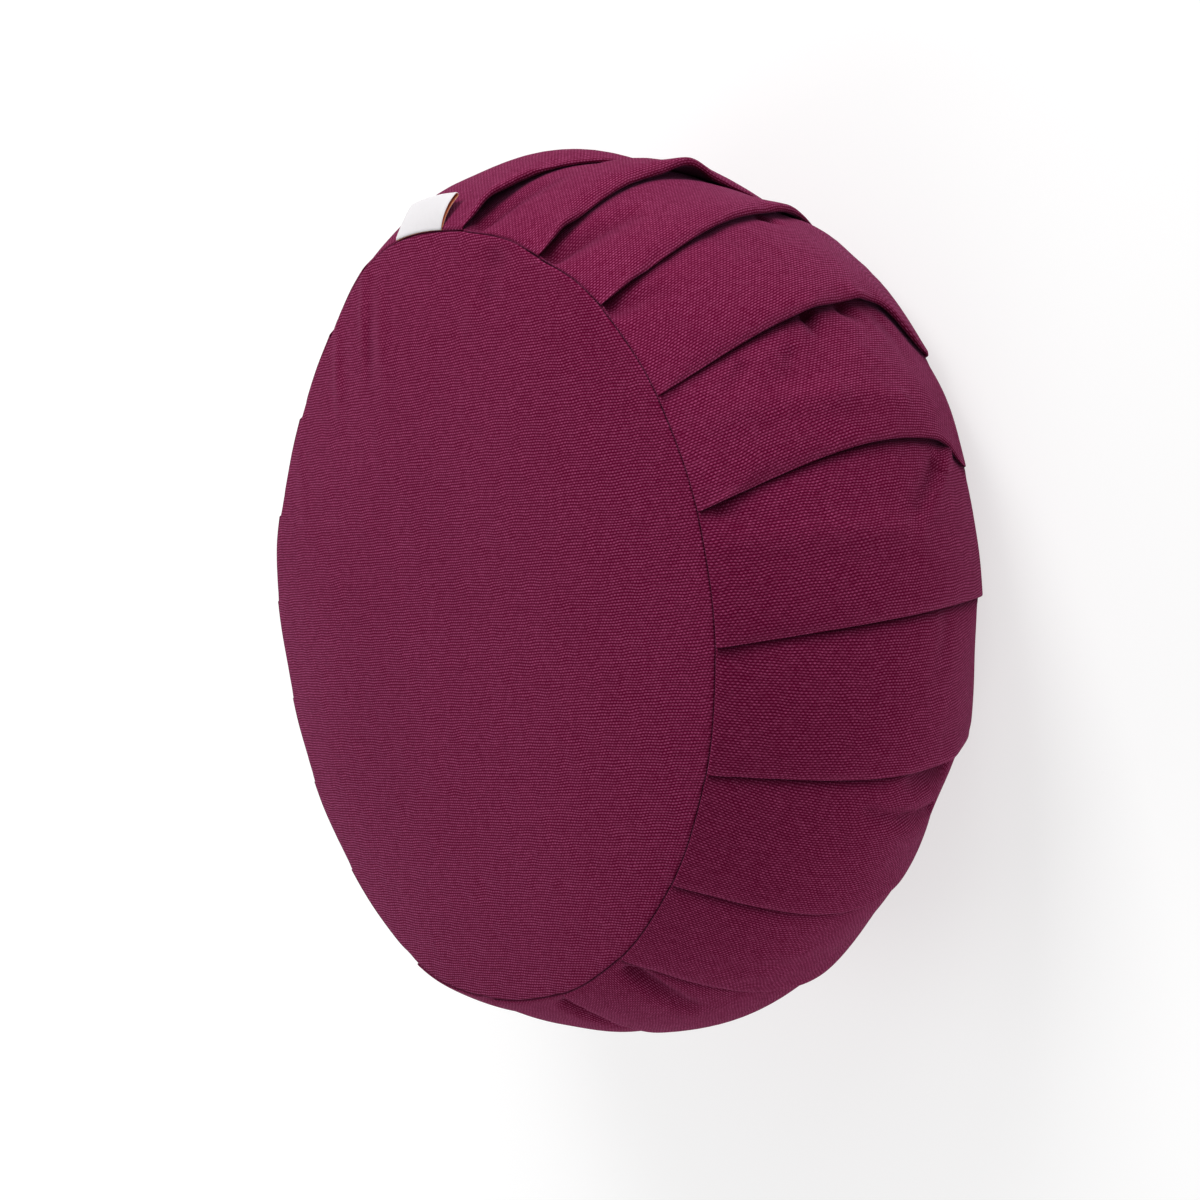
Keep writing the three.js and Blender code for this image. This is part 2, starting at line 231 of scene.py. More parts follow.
# Where a fold gapes: how far down it, its reach there, and how much higher its lip then stands
GAPES = [
    {"pleat": 1, "down": 0.09, "reach": 0.07, "lift": 4.0},
    {"pleat": 1, "down": 0.20, "reach": 0.10, "lift": 2.6},
    {"pleat": 2, "down": 0.09, "reach": 0.06, "lift": 3.6},
    {"pleat": 2, "down": 0.61, "reach": 0.09, "lift": 5.2},
    {"pleat": 3, "down": 0.09, "reach": 0.06, "lift": 1.6},
    {"pleat": 3, "down": 0.80, "reach": 0.11, "lift": 1.6},
    {"pleat": 4, "down": 0.54, "reach": 0.06, "lift": 1.4},
    {"pleat": 4, "down": 0.75, "reach": 0.06, "lift": 2.0},
    {"pleat": 4, "down": 0.94, "reach": 0.10, "lift": 2.6},
    {"pleat": 5, "down": 0.07, "reach": 0.05, "lift": 2.0},
    {"pleat": 5, "down": 0.86, "reach": 0.10, "lift": 1.8},
    {"pleat": 6, "down": 0.95, "reach": 0.12, "lift": 2.0},
    {"pleat": 7, "down": 0.80, "reach": 0.10, "lift": 2.6},
    {"pleat": 7, "down": 0.96, "reach": 0.10, "lift": 2.4},
    {"pleat": 8, "down": 0.75, "reach": 0.18, "lift": 1.6},
    {"pleat": 9, "down": 0.65, "reach": 0.18, "lift": 1.8},
    {"pleat": 14, "down": 0.55, "reach": 0.15, "lift": 2.0},
    {"pleat": 17, "down": 0.20, "reach": 0.10, "lift": 2.0},
    {"pleat": 19, "down": 0.60, "reach": 0.12, "lift": 1.6},
]
TUCK_STEPS = 4
CLIMB_STEPS = 26
NOSE_STEPS = 6
UNDER_STEPS = 6
BAND_ROWS = 84
# The folded layers push each seam out, most at the fold and less over the next pleat
SEAM_PUSH = 0.4
PUSH_FROM = 0.35
PUSH_FULL = 0.75
PUSH_DROP = 0.08
PUSH_REACH = 0.05


def hump(away, reach):
    return np.exp(-((away / reach) ** 2))


def turn_between(turn, place):
    return (turn - place + 180) % 360 - 180


def smooth(share):
    share = np.clip(share, 0, 1)
    return share * share * (3 - 2 * share)


def seam_push(turn):
    """How far the layers of each fold push the seams out, at each turn."""
    folds = np.array([pleat["turn"] for pleat in PLEATS])
    turn = (turn - folds[0]) % 360 + folds[0]
    folds = np.concatenate([folds, [folds[0] + 360]])
    before = np.clip(np.searchsorted(folds, turn, side="right") - 1, 0, len(PLEATS) - 1)
    share = (turn - folds[before]) / (folds[before + 1] - folds[before])
    rising = smooth((share - PUSH_FROM) / (PUSH_FULL - PUSH_FROM))
    return SEAM_PUSH * (rising + 1 - smooth(share / PUSH_DROP))


def seam_radius(turn):
    wander = sum(row["out"] * hump(turn_between(turn, row["turn"]), row["wide"]) for row in SEAM_WANDERS)
    return SEAM_RADIUS + SEAM_OVAL * np.sin(2 * np.radians(turn)) + wander


def band_radius(turn, down):
    """Radius of the band's lowest layer, with down running from 0 at the top seam to 1 at the base seam."""
    angle = np.radians(turn)
    bulge = BAND_BULGE + BULGE_THREE * np.cos(3 * angle) - BULGE_OVAL * np.sin(2 * angle)
    swell = 0
    for row in SWELLS:
        beside = hump(turn_between(turn, row["turn"]), row["wide"])
        swell = swell + row["out"] * beside * hump(down - row["down"], row["tall"])
    push = seam_push(turn) * (hump(down, PUSH_REACH) + hump(1 - down, PUSH_REACH))
    return seam_radius(turn) + bulge * np.sin(np.pi * down) + swell + push


def wrinkle_out(turn, down):
    """How far the wrinkles stand out at each place."""
    out = 0
    for row in WRINKLES:
        x = turn_between(turn, row["from"][0]) * MM_PER_DEGREE
        y = (down - row["from"][1]) * BAND_LENGTH
        long_x = turn_between(row["to"][0], row["from"][0]) * MM_PER_DEGREE
        long_y = (row["to"][1] - row["from"][1]) * BAND_LENGTH
        share = np.clip((x * long_x + y * long_y) / (long_x**2 + long_y**2), 0, 1)
        depth = row["out"] * (1 - WRINKLE_TAPER * share)
        out = out + depth * hump(np.hypot(x - share * long_x, y - share * long_y), row["wide"])
    return out


def fold_turn(pleat, down):
    wander = pleat["foot"] * down + pleat["lean"] * np.sin(np.pi * down)
    return pleat["turn"] + wander + pleat["hook"] * hump(1 - down, HOOK_REACH)


def fold_lift(pleat, down):
    skew = math.log(0.5) / math.log(pleat["peak"])
    return SEAM_LIFT + (pleat["lift"] - SEAM_LIFT) * np.sin(np.pi * down**skew)


def fold_gape(number, down):
    rows = [row for row in GAPES if row["pleat"] == number]
    return sum((row["lift"] * hump(down - row["down"], row["reach"]) for row in rows), 0 * down)


def pleat_section(number, down):
    """Turns, levels, wear and painted light, and wrinkles across one pleat, from under the last fold to under
    its own, for each place down the band. The mark is 1 on the worn edge of the fold, which is also a painted
    highlight, and -1 as painted shade under the last fold, just past it and inside this one; round the fold's
    top it runs from painted highlight to painted shade."""
    pleat = PLEATS[number]
    start = fold_turn(PLEATS[number - 1], down) - (360 if number == 0 else 0)
    end = fold_turn(pleat, down)
    lift = fold_lift(pleat, down)
    gape = fold_gape(number + 1, down)
    high = lift + gape
    lip = np.minimum(LIP, LIP_SHARE * high)
    degrees_per_mm = np.degrees(1 / band_radius(end, down))
    nose = lip / 2 * degrees_per_mm
    tuck = TUCK * degrees_per_mm
    full_puff = PLEAT_PUFF * (PUFF_AT_SEAM + (1 - PUFF_AT_SEAM) * np.sin(np.pi * down))
    turns = []
    levels = []
    wear_and_painted_light = []
    wrinkles = []
    # Under the last fold: painted shade
    for step in range(TUCK_STEPS):
        turns.append(start - tuck * (1 - step / TUCK_STEPS))
        levels.append(0 * down)
        wear_and_painted_light.append(0 * down - 1)
        wrinkles.append(wrinkle_out(turns[-1], down))
    # The climb: paler near its own fold, worn there and a painted highlight, and painted shade just past the
    # last fold
    for step in range(CLIMB_STEPS):
        share = (1 - math.cos(math.pi * step / (CLIMB_STEPS - 1))) / 2
        turns.append(start + share * (end - nose - start))
        from_fold = share * (end - nose - start) / degrees_per_mm
        to_fold = (1 - share) * (end - nose - start) / degrees_per_mm
        puff = full_puff * (1 - np.exp(-from_fold / GROOVE)) * (1 - share**PUFF_FALL)
        levels.append(lift * share**PLEAT_RAMP + gape * share**GAPE_RAMP + puff)
        wear_and_painted_light.append(hump(to_fold, WEAR_HIGHLIGHT_REACH) - hump(from_fold, PAINTED_SHADE_REACH))
        wrinkles.append(wrinkle_out(turns[-1], down) * (1 - share**WRINKLE_FALL))
    # Round the fold's top: a painted highlight above, painted shade underneath
    for step in range(1, NOSE_STEPS):
        angle = math.pi * (0.5 - step / NOSE_STEPS)
        turns.append(end - nose + nose * math.cos(angle))
        levels.append(high - lip / 2 + lip / 2 * math.sin(angle))
        wear_and_painted_light.append(0 * down + math.sin(angle))
        wrinkles.append(0 * down)
    # Back under the fold: painted shade
    for step in range(UNDER_STEPS):
        share = step / (UNDER_STEPS - 1)
        turns.append(end - nose - (tuck - nose) * share)
        levels.append((high - lip) * (1 - share) ** UNDER_RAMP + TUCK_GAP * share)
        wear_and_painted_light.append(0 * down - 1)
        wrinkles.append(0 * down)
    return [np.stack(columns, axis=-1) for columns in (turns, levels, wear_and_painted_light, wrinkles)]


# The folds of the far side, which don't show in the photograph, have the same kinds of dents and wrinkles:
# a pocket at the seam, and a slanting dent with a ridge below it
FAR_FOLDS = slice(10, 19)
FAR_SEED = 5
FAR_PLACES = (0.3, 0.75)
FAR_LENGTHS = (5, 11)
FAR_SLANTS = (-0.25, 0.25)
FAR_DENT = {"past": 1, "below": 0, "wide": 4, "out": -2.6}
FAR_RIDGE = {"past": 1, "below": 0.07, "wide": 5, "out": 1.3}
FAR_POCKET = {"past": 1.6, "slant": 1, "from": 0.04, "to": 0.18, "wide": 5, "out": -3.0}
scatter = np.random.default_rng(FAR_SEED)
for pleat in PLEATS[FAR_FOLDS]:
    place = scatter.uniform(*FAR_PLACES)
    length = scatter.uniform(*FAR_LENGTHS)
    slant = scatter.uniform(*FAR_SLANTS)
    seam_end = pleat["turn"] + FAR_POCKET["past"]
    WRINKLES.append(
        {
            "from": (seam_end, FAR_POCKET["from"]),
            "to": (seam_end + FAR_POCKET["slant"], FAR_POCKET["to"]),
            "wide": FAR_POCKET["wide"],
            "out": FAR_POCKET["out"],
        }
    )
    for row in (FAR_DENT, FAR_RIDGE):
        near = fold_turn(pleat, place) + row["past"]
        WRINKLES.append(
            {
                "from": (near, place + row["below"]),
                "to": (near + length, place + slant + row["below"]),
                "wide": row["wide"],
                "out": row["out"],
            }
        )

MERGE_REACH = 0.005


def cloth_grid(name, points, cloth, wear_and_painted_light=None):
    """A mesh grid laid over points (rows, columns, xyz in mm). Its UV map is the flat cloth's own place, and
    its point attribute is up to 1 on worn edges and ridges, as wear and painted highlight, and down to -1 as
    painted shade in folds, dents and seams."""
    rows, columns = points.shape[:2]
    bpy.ops.mesh.primitive_grid_add(x_subdivisions=columns - 1, y_subdivisions=rows - 1)
    piece = bpy.context.object
    piece.name = name
    piece.data.vertices.foreach_set("co", (points.reshape(-1) * MM).astype(np.float32))
    if wear_and_painted_light is not None:
        mark = piece.data.attributes.new("wear_and_light_paint", "FLOAT", "POINT")
        mark.data.foreach_set("value", wear_and_painted_light.reshape(-1).astype(np.float32))
    corners = np.zeros(len(piece.data.loops), np.int32)
    piece.data.loops.foreach_get("vertex_index", corners)
    flat = (cloth.reshape(-1, 2) * MM)[corners].astype(np.float32)
    piece.data.uv_layers[0].data.foreach_set("uv", flat.reshape(-1))
    bpy.ops.object.mode_set(mode="EDIT")
    bpy.ops.mesh.select_all(action="SELECT")
    bpy.ops.mesh.remove_doubles(threshold=MERGE_REACH * MM)
    bpy.ops.mesh.normals_make_consistent(inside=False)
    bpy.ops.object.mode_set(mode="OBJECT")
    bpy.ops.object.shade_smooth()
    piece.select_set(False)
    return piece


def around(radius, turn, height):
    angle = np.radians(turn)
    return np.stack([radius * np.cos(angle), -radius * np.sin(angle), height + 0 * angle], axis=-1)


even_down = np.linspace(0, 1, BAND_ROWS)
down = (even_down + (1 - np.cos(np.pi * even_down)) / 2) / 2
sections = [pleat_section(number, down) for number in range(len(PLEATS))]
turns = np.concatenate([section[0] for section in sections], axis=1)
levels = np.concatenate([section[1] for section in sections], axis=1)
wear_and_painted_light = np.concatenate([section[2] for section in sections], axis=1)
wrinkles = np.concatenate([section[3] for section in sections], axis=1)
heights = TOP_SEAM - BAND_HEIGHT * down[:, None]
per_pleat = turns.shape[1] // len(PLEATS)

# The filling presses the canvas out between its seams and folds. A coarse copy of the band settles as cloth,
# held at both seams and inside every fold, and how far it moves out is laid over the fine band.
SETTLE_ROWS = 3
SETTLE_COLUMNS = 2
SETTLE_FRAMES = 20
FILLING_PRESSURE = 200
CANVAS_SLACK = 0.008
POINT_MASS = 0.001
LIP_HOLD = 0.3
SETTLE_MOST = 2.2
CANVAS_STIFFNESS = {"tension": 20, "compression": 20, "shear": 5, "bending": 0.5}
CANVAS_DAMPING = 25


def settled(points, held):
    """How far each point of a cloth grid moves, in mm, when the filling presses on it from behind."""
    rows, columns = points.shape[:2]
    bpy.ops.mesh.primitive_grid_add(x_subdivisions=columns - 1, y_subdivisions=rows - 1)
    copy = bpy.context.object
    copy.data.vertices.foreach_set("co", (points.reshape(-1) * MM).astype(np.float32))
    pins = copy.vertex_groups.new(name="held")
    for hold in np.unique(held[held > 0]):
        pins.add(np.flatnonzero(held.reshape(-1) == hold).tolist(), float(hold), "REPLACE")
    cloth = copy.modifiers.new("settling", "CLOTH")
    cloth.collision_settings.use_collision = False
    settings = cloth.settings
    settings.vertex_group_mass = pins.name
    settings.mass = POINT_MASS
    settings.use_pressure = True
    settings.uniform_pressure_force = FILLING_PRESSURE
    settings.shrink_min = -CANVAS_SLACK
    settings.effector_weights.gravity = 0
    for way, stiffness in CANVAS_STIFFNESS.items():
        setattr(settings, way + "_stiffness", stiffness)
    for way in ("tension", "compression", "shear"):
        setattr(settings, way + "_damping", CANVAS_DAMPING)
    for frame_number in range(1, SETTLE_FRAMES + 1):
        bpy.context.scene.frame_set(frame_number)
    bpy.ops.object.modifier_apply(modifier=cloth.name)
    moved = np.zeros(points.size, np.float32)
    copy.data.vertices.foreach_get("co", moved)
    bpy.ops.object.delete()
    bpy.context.scene.frame_set(1)
    return moved.reshape(points.shape) / MM - points


row_picks = np.append(np.arange(0, BAND_ROWS - 1, SETTLE_ROWS), BAND_ROWS - 1)
climb = np.arange(TUCK_STEPS, TUCK_STEPS + CLIMB_STEPS, SETTLE_COLUMNS)
lip_column = TUCK_STEPS + CLIMB_STEPS + NOSE_STEPS // 2 - 1
under = [per_pleat - UNDER_STEPS, per_pleat - 1]
pleat_picks = np.concatenate([[0, TUCK_STEPS // 2], climb, [lip_column], under])
pleat_holds = np.where(np.isin(pleat_picks, climb[1:]), 0, 1.0)
pleat_holds[pleat_picks == lip_column] = LIP_HOLD
column_picks = np.concatenate([pleat_picks + per_pleat * number for number in range(len(PLEATS))])
holds = np.tile(pleat_holds, (len(row_picks), len(PLEATS)))
holds[[0, -1]] = 1
coarse_turns = turns[row_picks][:, column_picks]
coarse = around(
    band_radius(turns, down[:, None])[row_picks][:, column_picks] + levels[row_picks][:, column_picks],
    coarse_turns,
    heights[row_picks],
)
outward = around(1, coarse_turns, 0)
out_move = np.clip((settled(coarse, holds) * outward).sum(axis=-1), -SETTLE_MOST, SETTLE_MOST)
all_columns = np.arange(turns.shape[1])
all_rows = np.arange(BAND_ROWS)
out_move = np.stack([np.interp(all_columns, column_picks, row) for row in out_move])
out_move = np.stack([np.interp(all_rows, row_picks, column) for column in out_move.T], axis=1)

# Each point takes half of its own move and a quarter of each neighbour's, down the band and then round it
for pad in (((1, 1), (0, 0)), ((0, 0), (1, 1))):
    wider = np.pad(out_move, pad, mode="edge")
    rows, columns = out_move.shape
    out_move = (wider[:rows, :columns] + 2 * out_move + wider[-rows:, -columns:]) / 4
out_move[[0, -1]] = 0
levels = levels + out_move + wrinkles

# Painted shade in the dents, darker the deeper they are, and a faint painted highlight on the ridges
DENT_SHADE = 0.1125
DENT_DEEPEST = 6.4
DENT_HIGHEST = 4
wear_and_painted_light = wear_and_painted_light + DENT_SHADE * np.clip(wrinkles, -DENT_DEEPEST, DENT_HIGHEST)
body = around(band_radius(turns, down[:, None]) + levels, turns, heights)

# The band's edges roll into the seams. Within them, the band closes over the filling, under each panel
SEAM_ROLL = 0.8
SEAM_GAP = 0.12
ROLL_ROWS = 5
ROLL_SWEEP = math.radians(150)
ROLL_EVEN_FROM = 0.4
BAND_SLOPE = math.atan2(math.pi * BAND_BULGE, BAND_HEIGHT)
FILLING_SHARES = (0.95, 0.8, 0.5, 0.2, 0)
FILLING = {1: {"sink": 3, "crown": 11}, -1: {"sink": 4, "crown": 3}}
FILLING_POWER = 3
SEAM_SHADE = -0.25
ROLLED_PLAIN = 2
PLEAT_CLOTH = 90


def seam_rows(edge, side):
    """Rows that roll the band's sewn edge into the seam, from outside in, then close it under the panel."""
    seam = TOP_SEAM if side > 0 else BASE_SEAM
    even = np.linspace(turns[0, 0], turns[0, 0] + 360, turns.shape[1], endpoint=False)
    rows = []
    for step in range(1, ROLL_ROWS + 1):
        share = step / ROLL_ROWS
        angle = BAND_SLOPE + ROLL_SWEEP * share
        turn = turns[edge] + (even - turns[edge]) * max(0, (share - ROLL_EVEN_FROM) / (1 - ROLL_EVEN_FROM))
        reach = SEAM_ROLL + levels[edge] * max(0, 1 - 2 * share)
        centre = band_radius(turn, down[edge]) - SEAM_ROLL * math.cos(BAND_SLOPE)
        height = seam - side * SEAM_ROLL * math.sin(BAND_SLOPE) + side * reach * math.sin(angle)
        rows.append(around(centre + reach * math.cos(angle), turn, height))
    for share in FILLING_SHARES:
        rise = FILLING[side]["crown"] * (1 - share**FILLING_POWER) - FILLING[side]["sink"]
        rows.append(around(share * band_radius(even, down[edge]), even, seam + side * rise))
    return rows


band_points = np.concatenate([np.stack(seam_rows(0, 1)[::-1]), body, np.stack(seam_rows(-1, -1))])
band_points = np.concatenate([band_points, band_points[:, :1]], axis=1)
across = np.linalg.norm(np.diff(band_points, axis=1), axis=-1)
along = np.linalg.norm(np.diff(band_points, axis=0), axis=-1)
cloth_u = np.concatenate([np.zeros((len(band_points), 1)), np.cumsum(across, axis=1)], axis=1)
cloth_v = np.concatenate([[0], np.cumsum(along.mean(axis=1))])
for number in range(len(PLEATS)):
    first = number * per_pleat
    width = slice(first, first + per_pleat + (number == len(PLEATS) - 1))
    cloth_u[:, width] -= cloth_u[:, first + lip_column][:, None] - PLEAT_CLOTH * number
band_cloth = np.stack([cloth_u, cloth_v[:, None] + 0 * cloth_u], axis=-1)
# Painted shade on the band's rolls in both seams and where it closes under the panels; the outer rolled rows
# stay plain
rolled = np.zeros((ROLLED_PLAIN, wear_and_painted_light.shape[1]))
in_seam = np.full((ROLL_ROWS + len(FILLING_SHARES) - ROLLED_PLAIN, wear_and_painted_light.shape[1]), SEAM_SHADE)
band_wear_and_painted_light = np.concatenate([in_seam, rolled, wear_and_painted_light, rolled, in_seam])
band_wear_and_painted_light = np.concatenate([band_wear_and_painted_light, band_wear_and_painted_light[:, :1]], axis=1)
band = cloth_grid("canvas_band", band_points, band_cloth, band_wear_and_painted_light)

# The canvas: its yarns in mm, and how much each part of the weave lightens or darkens the dye; the light
# colour is greyer than the dye, as a painted sheen on the yarn tops
WARP_SPACING = 1.0
WEFT_SPACING = 0.76
YARN_WANDER = 0.7
WANDER_SCALE = 90
DYE_LEVEL = -0.16
ROWS_SHOW = -0.38
CROSSINGS_SHOW = 0.34
CELL_LEAST = 0.55
CELL_RANGE = 0.9
WARP_SLUB_SHOWS = 0.42
WEFT_SLUB_SHOWS = 0.25
SLUB_SCALE = 5
SLUB_STRETCH = 0.055
WARP_SLUB_STEP = 0.37
WEFT_SLUB_STEP = 0.41
FADE_SHOWS = 0.12
FADE_SCALE = 14
FADE_DETAIL = 3
WINE_LIGHT = (0.336, 0.055, 0.146, 1)
WINE_DARK = (0.105, 0.0003, 0.022, 1)
# A paler colour for worn fold edges that is also a painted highlight, and a dark colour for painted shade
WINE_WEAR_AND_HIGHLIGHT = (0.33, 0.06, 0.14, 1)
WINE_PAINTED_SHADE = (0.03, 0.001, 0.008, 1)
WEAR_AND_HIGHLIGHT_SHARE = 0.1
PAINTED_SHADE_SHARE = 0.8
WEAVE_BUMP = 0.25
WEAVE_BUMP_STRENGTH = 0.7
SLUB_BUMP = 0.5
CANVAS_FINISH = {
    "Roughness": 0.95,
    "Specular IOR Level": 0.03,
    "Sheen Weight": 0.15,
    "Sheen Roughness": 0.28,
    "Sheen Tint": (0.95, 0.36, 0.75, 1),
}


def joined(tree, node, sockets, values):
    """Links each value to its socket of the node, or sets it there. Returns the node's first output."""
    for socket, value in zip(sockets, values):
        if isinstance(value, bpy.types.NodeSocket):
            tree.links.new(value, node.inputs[socket])
        else:
            node.inputs[socket].default_value = value
    return node.outputs[0]


def calc(tree, operation, *values):
    node = tree.nodes.new("ShaderNodeMath")
    node.operation = operation
    return joined(tree, node, range(len(values)), values)


def dyed(tree, share, first, second):
    """The first colour, with a share of the second one."""
    node = tree.nodes.new("ShaderNodeMix")
    node.data_type = "RGBA"
    joined(tree, node, ("Factor", "A", "B"), (share, first, second))
    return node.outputs["Result"]


def noise(tree, place, scale, detail=1):
    node = tree.nodes.new("ShaderNodeTexNoise")
    node.noise_dimensions = "2D"
    return joined(tree, node, ("Vector", "Scale", "Detail"), (place, scale, detail))


def pair(tree, first, second):
    return joined(tree, tree.nodes.new("ShaderNodeCombineXYZ"), (0, 1), (first, second))


def cloth_place(tree):
    """The place on the flat cloth: the whole of it, along the cloth and across it."""
    whole = tree.nodes.new("ShaderNodeUVMap").outputs[0]
    split = tree.nodes.new("ShaderNodeSeparateXYZ")
    tree.links.new(whole, split.inputs[0])
    return whole, split.outputs[0], split.outputs[1]


def raised(tree, height, strength, distance):
    """Lets the light see the threads' height."""
    bump = tree.nodes.new("ShaderNodeBump")
    raised_normal = joined(tree, bump, ("Height", "Strength", "Distance"), (height, strength, distance * MM))
    tree.links.new(raised_normal, tree.nodes["Principled BSDF"].inputs["Normal"])


def slub(tree, yarn, step, along):
    """The thick and thin stretches along each yarn."""
    place = pair(tree, calc(tree, "MULTIPLY", yarn, step), calc(tree, "MULTIPLY", along, SLUB_STRETCH))
    return noise(tree, place, SLUB_SCALE)


def canvas_material(name):
    """Plain-woven cotton canvas: yarns over and under each other, a little uneven, matt with a soft bloom."""
    material = new_material(name, CANVAS_FINISH)
    tree = material.node_tree
    cloth, cloth_along, cloth_across = cloth_place(tree)
    wander = noise(tree, cloth, WANDER_SCALE)
    wander = calc(tree, "MULTIPLY_ADD", wander, 2 * YARN_WANDER * MM, -YARN_WANDER * MM)
    warp_place = calc(tree, "DIVIDE", calc(tree, "ADD", cloth_along, wander), WARP_SPACING * MM)
    weft_place = calc(tree, "DIVIDE", calc(tree, "SUBTRACT", cloth_across, wander), WEFT_SPACING * MM)
    warp = calc(tree, "SINE", calc(tree, "MULTIPLY", warp_place, math.pi))
    weft = calc(tree, "SINE", calc(tree, "MULTIPLY", weft_place, math.pi))
    crossing = calc(tree, "MULTIPLY", warp, weft)
    rows = calc(tree, "COSINE", calc(tree, "MULTIPLY", warp_place, math.tau))

    # Each yarn has thick and thin stretches, and each crossing is a little lighter or darker
    warp_yarn = calc(tree, "FLOOR", warp_place)
    weft_yarn = calc(tree, "FLOOR", weft_place)
    warp_slub = slub(tree, warp_yarn, WARP_SLUB_STEP, weft_place)
    weft_slub = slub(tree, weft_yarn, WEFT_SLUB_STEP, warp_place)
    cell = tree.nodes.new("ShaderNodeTexWhiteNoise")
    cell.noise_dimensions = "2D"
    cell_value = joined(tree, cell, ("Vector",), (pair(tree, warp_yarn, weft_yarn),))
    fade = noise(tree, cloth, FADE_SCALE, FADE_DETAIL)

    # The crossings lighten the cloth toward the greyer light colour, partly a painted sheen on the yarn tops
    pattern = calc(tree, "MULTIPLY_ADD", rows, ROWS_SHOW, calc(tree, "MULTIPLY", crossing, CROSSINGS_SHOW))
    strength = calc(tree, "MULTIPLY_ADD", cell_value, CELL_RANGE, CELL_LEAST)
    tone = calc(tree, "MULTIPLY_ADD", warp_slub, WARP_SLUB_SHOWS, DYE_LEVEL)
    tone = calc(tree, "MULTIPLY_ADD", weft_slub, WEFT_SLUB_SHOWS, tone)
    tone = calc(tree, "MULTIPLY_ADD", fade, FADE_SHOWS, tone)
    tone = calc(tree, "MULTIPLY_ADD", pattern, strength, tone)
    # The point attribute makes worn fold edges paler, also as a painted highlight on them, the fold tops and
    # the ridges, and darkens folds, dents and seams as painted shade
    wear_and_light_paint = tree.nodes.new("ShaderNodeAttribute")
    wear_and_light_paint.attribute_name = "wear_and_light_paint"
    colour = dyed(tree, tone, WINE_DARK, WINE_LIGHT)
    colour = dyed(tree, calc(tree, "MULTIPLY", wear_and_light_paint.outputs["Fac"], WEAR_AND_HIGHLIGHT_SHARE), colour, WINE_WEAR_AND_HIGHLIGHT)
    colour = dyed(tree, calc(tree, "MULTIPLY", wear_and_light_paint.outputs["Fac"], -PAINTED_SHADE_SHARE), colour, WINE_PAINTED_SHADE)
    tree.links.new(colour, tree.nodes["Principled BSDF"].inputs["Base Color"])
    height = calc(tree, "MULTIPLY_ADD", warp_slub, SLUB_BUMP, calc(tree, "ABSOLUTE", crossing))
    raised(tree, height, WEAVE_BUMP_STRENGTH, WEAVE_BUMP)
    return material


canvas = canvas_material("burgundy_canvas")
band.data.materials.append(canvas)
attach(band, "root")
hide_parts("pleated_band")

# Round panels
# Two round cuts of the same canvas, turned in and sewn to the band. The filling crowns the top one, and the
# bottom one lies flat under the cushion and curls up to its seam.
PANEL_COLUMNS = 360
PANEL_RINGS = 48
RING_SPACING = 0.8
CANVAS = 0.7
TOP_CROWN = 11
CROWN_POWER = 3
BASE_FLAT = 0.78
BASE_CURL = 1.7
CRACK_TILT = math.radians(37)
DARK_ROWS = 2
PANEL_SHADE = 0.3
# Soft creases in the top panel, all along X: the middle and half length of each, half its width and its rise
CREASES = [
    {"x": 120, "y": 41.5, "long": 16, "wide": 3.0, "rise": 1.2},
    {"x": 101, "y": 64.5, "long": 17, "wide": 3.5, "rise": 1.2},
    {"x": 108, "y": 28.0, "long": 18, "wide": 3.5, "rise": 0.9},
    {"x": 106, "y": 38.0, "long": 14, "wide": 3.5, "rise": -0.8},
    {"x": 128, "y": -46.0, "long": 5, "wide": 7, "rise": -0.8},
    {"x": 117, "y": -42.0, "long": 4, "wide": 4, "rise": -0.6},
    {"x": 110, "y": -32.0, "long": 6, "wide": 5, "rise": 0.7},
    {"x": 60, "y": 104.0, "long": 18, "wide": 4.0, "rise": 0.4},
    {"x": -40, "y": 60.0, "long": 45, "wide": 30, "rise": -0.3},
    {"x": 30, "y": -40.0, "long": 50, "wide": 40, "rise": 0.6},
]


def crease_rise(x, y):
    """How far the top panel's creases rise at each place."""
    rise = 0
    for crease in CREASES:
        spread = hump(x - crease["x"], crease["long"]) * hump(y - crease["y"], crease["wide"])
        rise = rise + crease["rise"] * spread
    return rise


def panel_points(side):
    """Rings of one panel, from its middle out to the seam and round its turned-in edge."""
    turn = np.linspace(0, 360, PANEL_COLUMNS + 1)
    turn[-1] = 0
    seam = TOP_SEAM if side > 0 else BASE_SEAM
    edge = band_radius(turn, 0 if side > 0 else 1)
    apart = 2 * SEAM_ROLL + SEAM_GAP
    turned_out = edge - SEAM_ROLL * math.cos(BAND_SLOPE) - apart * math.cos(CRACK_TILT)
    turned_up = seam + side * (apart * math.sin(CRACK_TILT) - SEAM_ROLL * math.sin(BAND_SLOPE))
    if side > 0:
        slope = CROWN_POWER * TOP_CROWN / SEAM_RADIUS
    else:
        slope = BASE_CURL * BASE_SEAM / (1 - BASE_FLAT) / SEAM_RADIUS
    lean = math.atan2(1, slope)
    rim_radius = turned_out + SEAM_ROLL * math.cos(lean)
    rim_height = turned_up + side * SEAM_ROLL * math.sin(lean)
    rows = []
    for share in np.linspace(0, 1, PANEL_RINGS) ** RING_SPACING:
        if side > 0:
            height = rim_height + TOP_CROWN * (1 - share**CROWN_POWER)
        else:
            height = rim_height * max(0, (share - BASE_FLAT) / (1 - BASE_FLAT)) ** BASE_CURL
        rows.append(around(share * rim_radius, turn, height))
    for step in range(1, ROLL_ROWS + 1):
        angle = lean - ROLL_SWEEP * step / ROLL_ROWS
        out = turned_out + SEAM_ROLL * math.cos(angle)
        rows.append(around(out, turn, turned_up + side * SEAM_ROLL * math.sin(angle)))
    points = np.stack(rows)
    if side > 0:
        points[..., 2] += crease_rise(points[..., 0], points[..., 1])
    return points


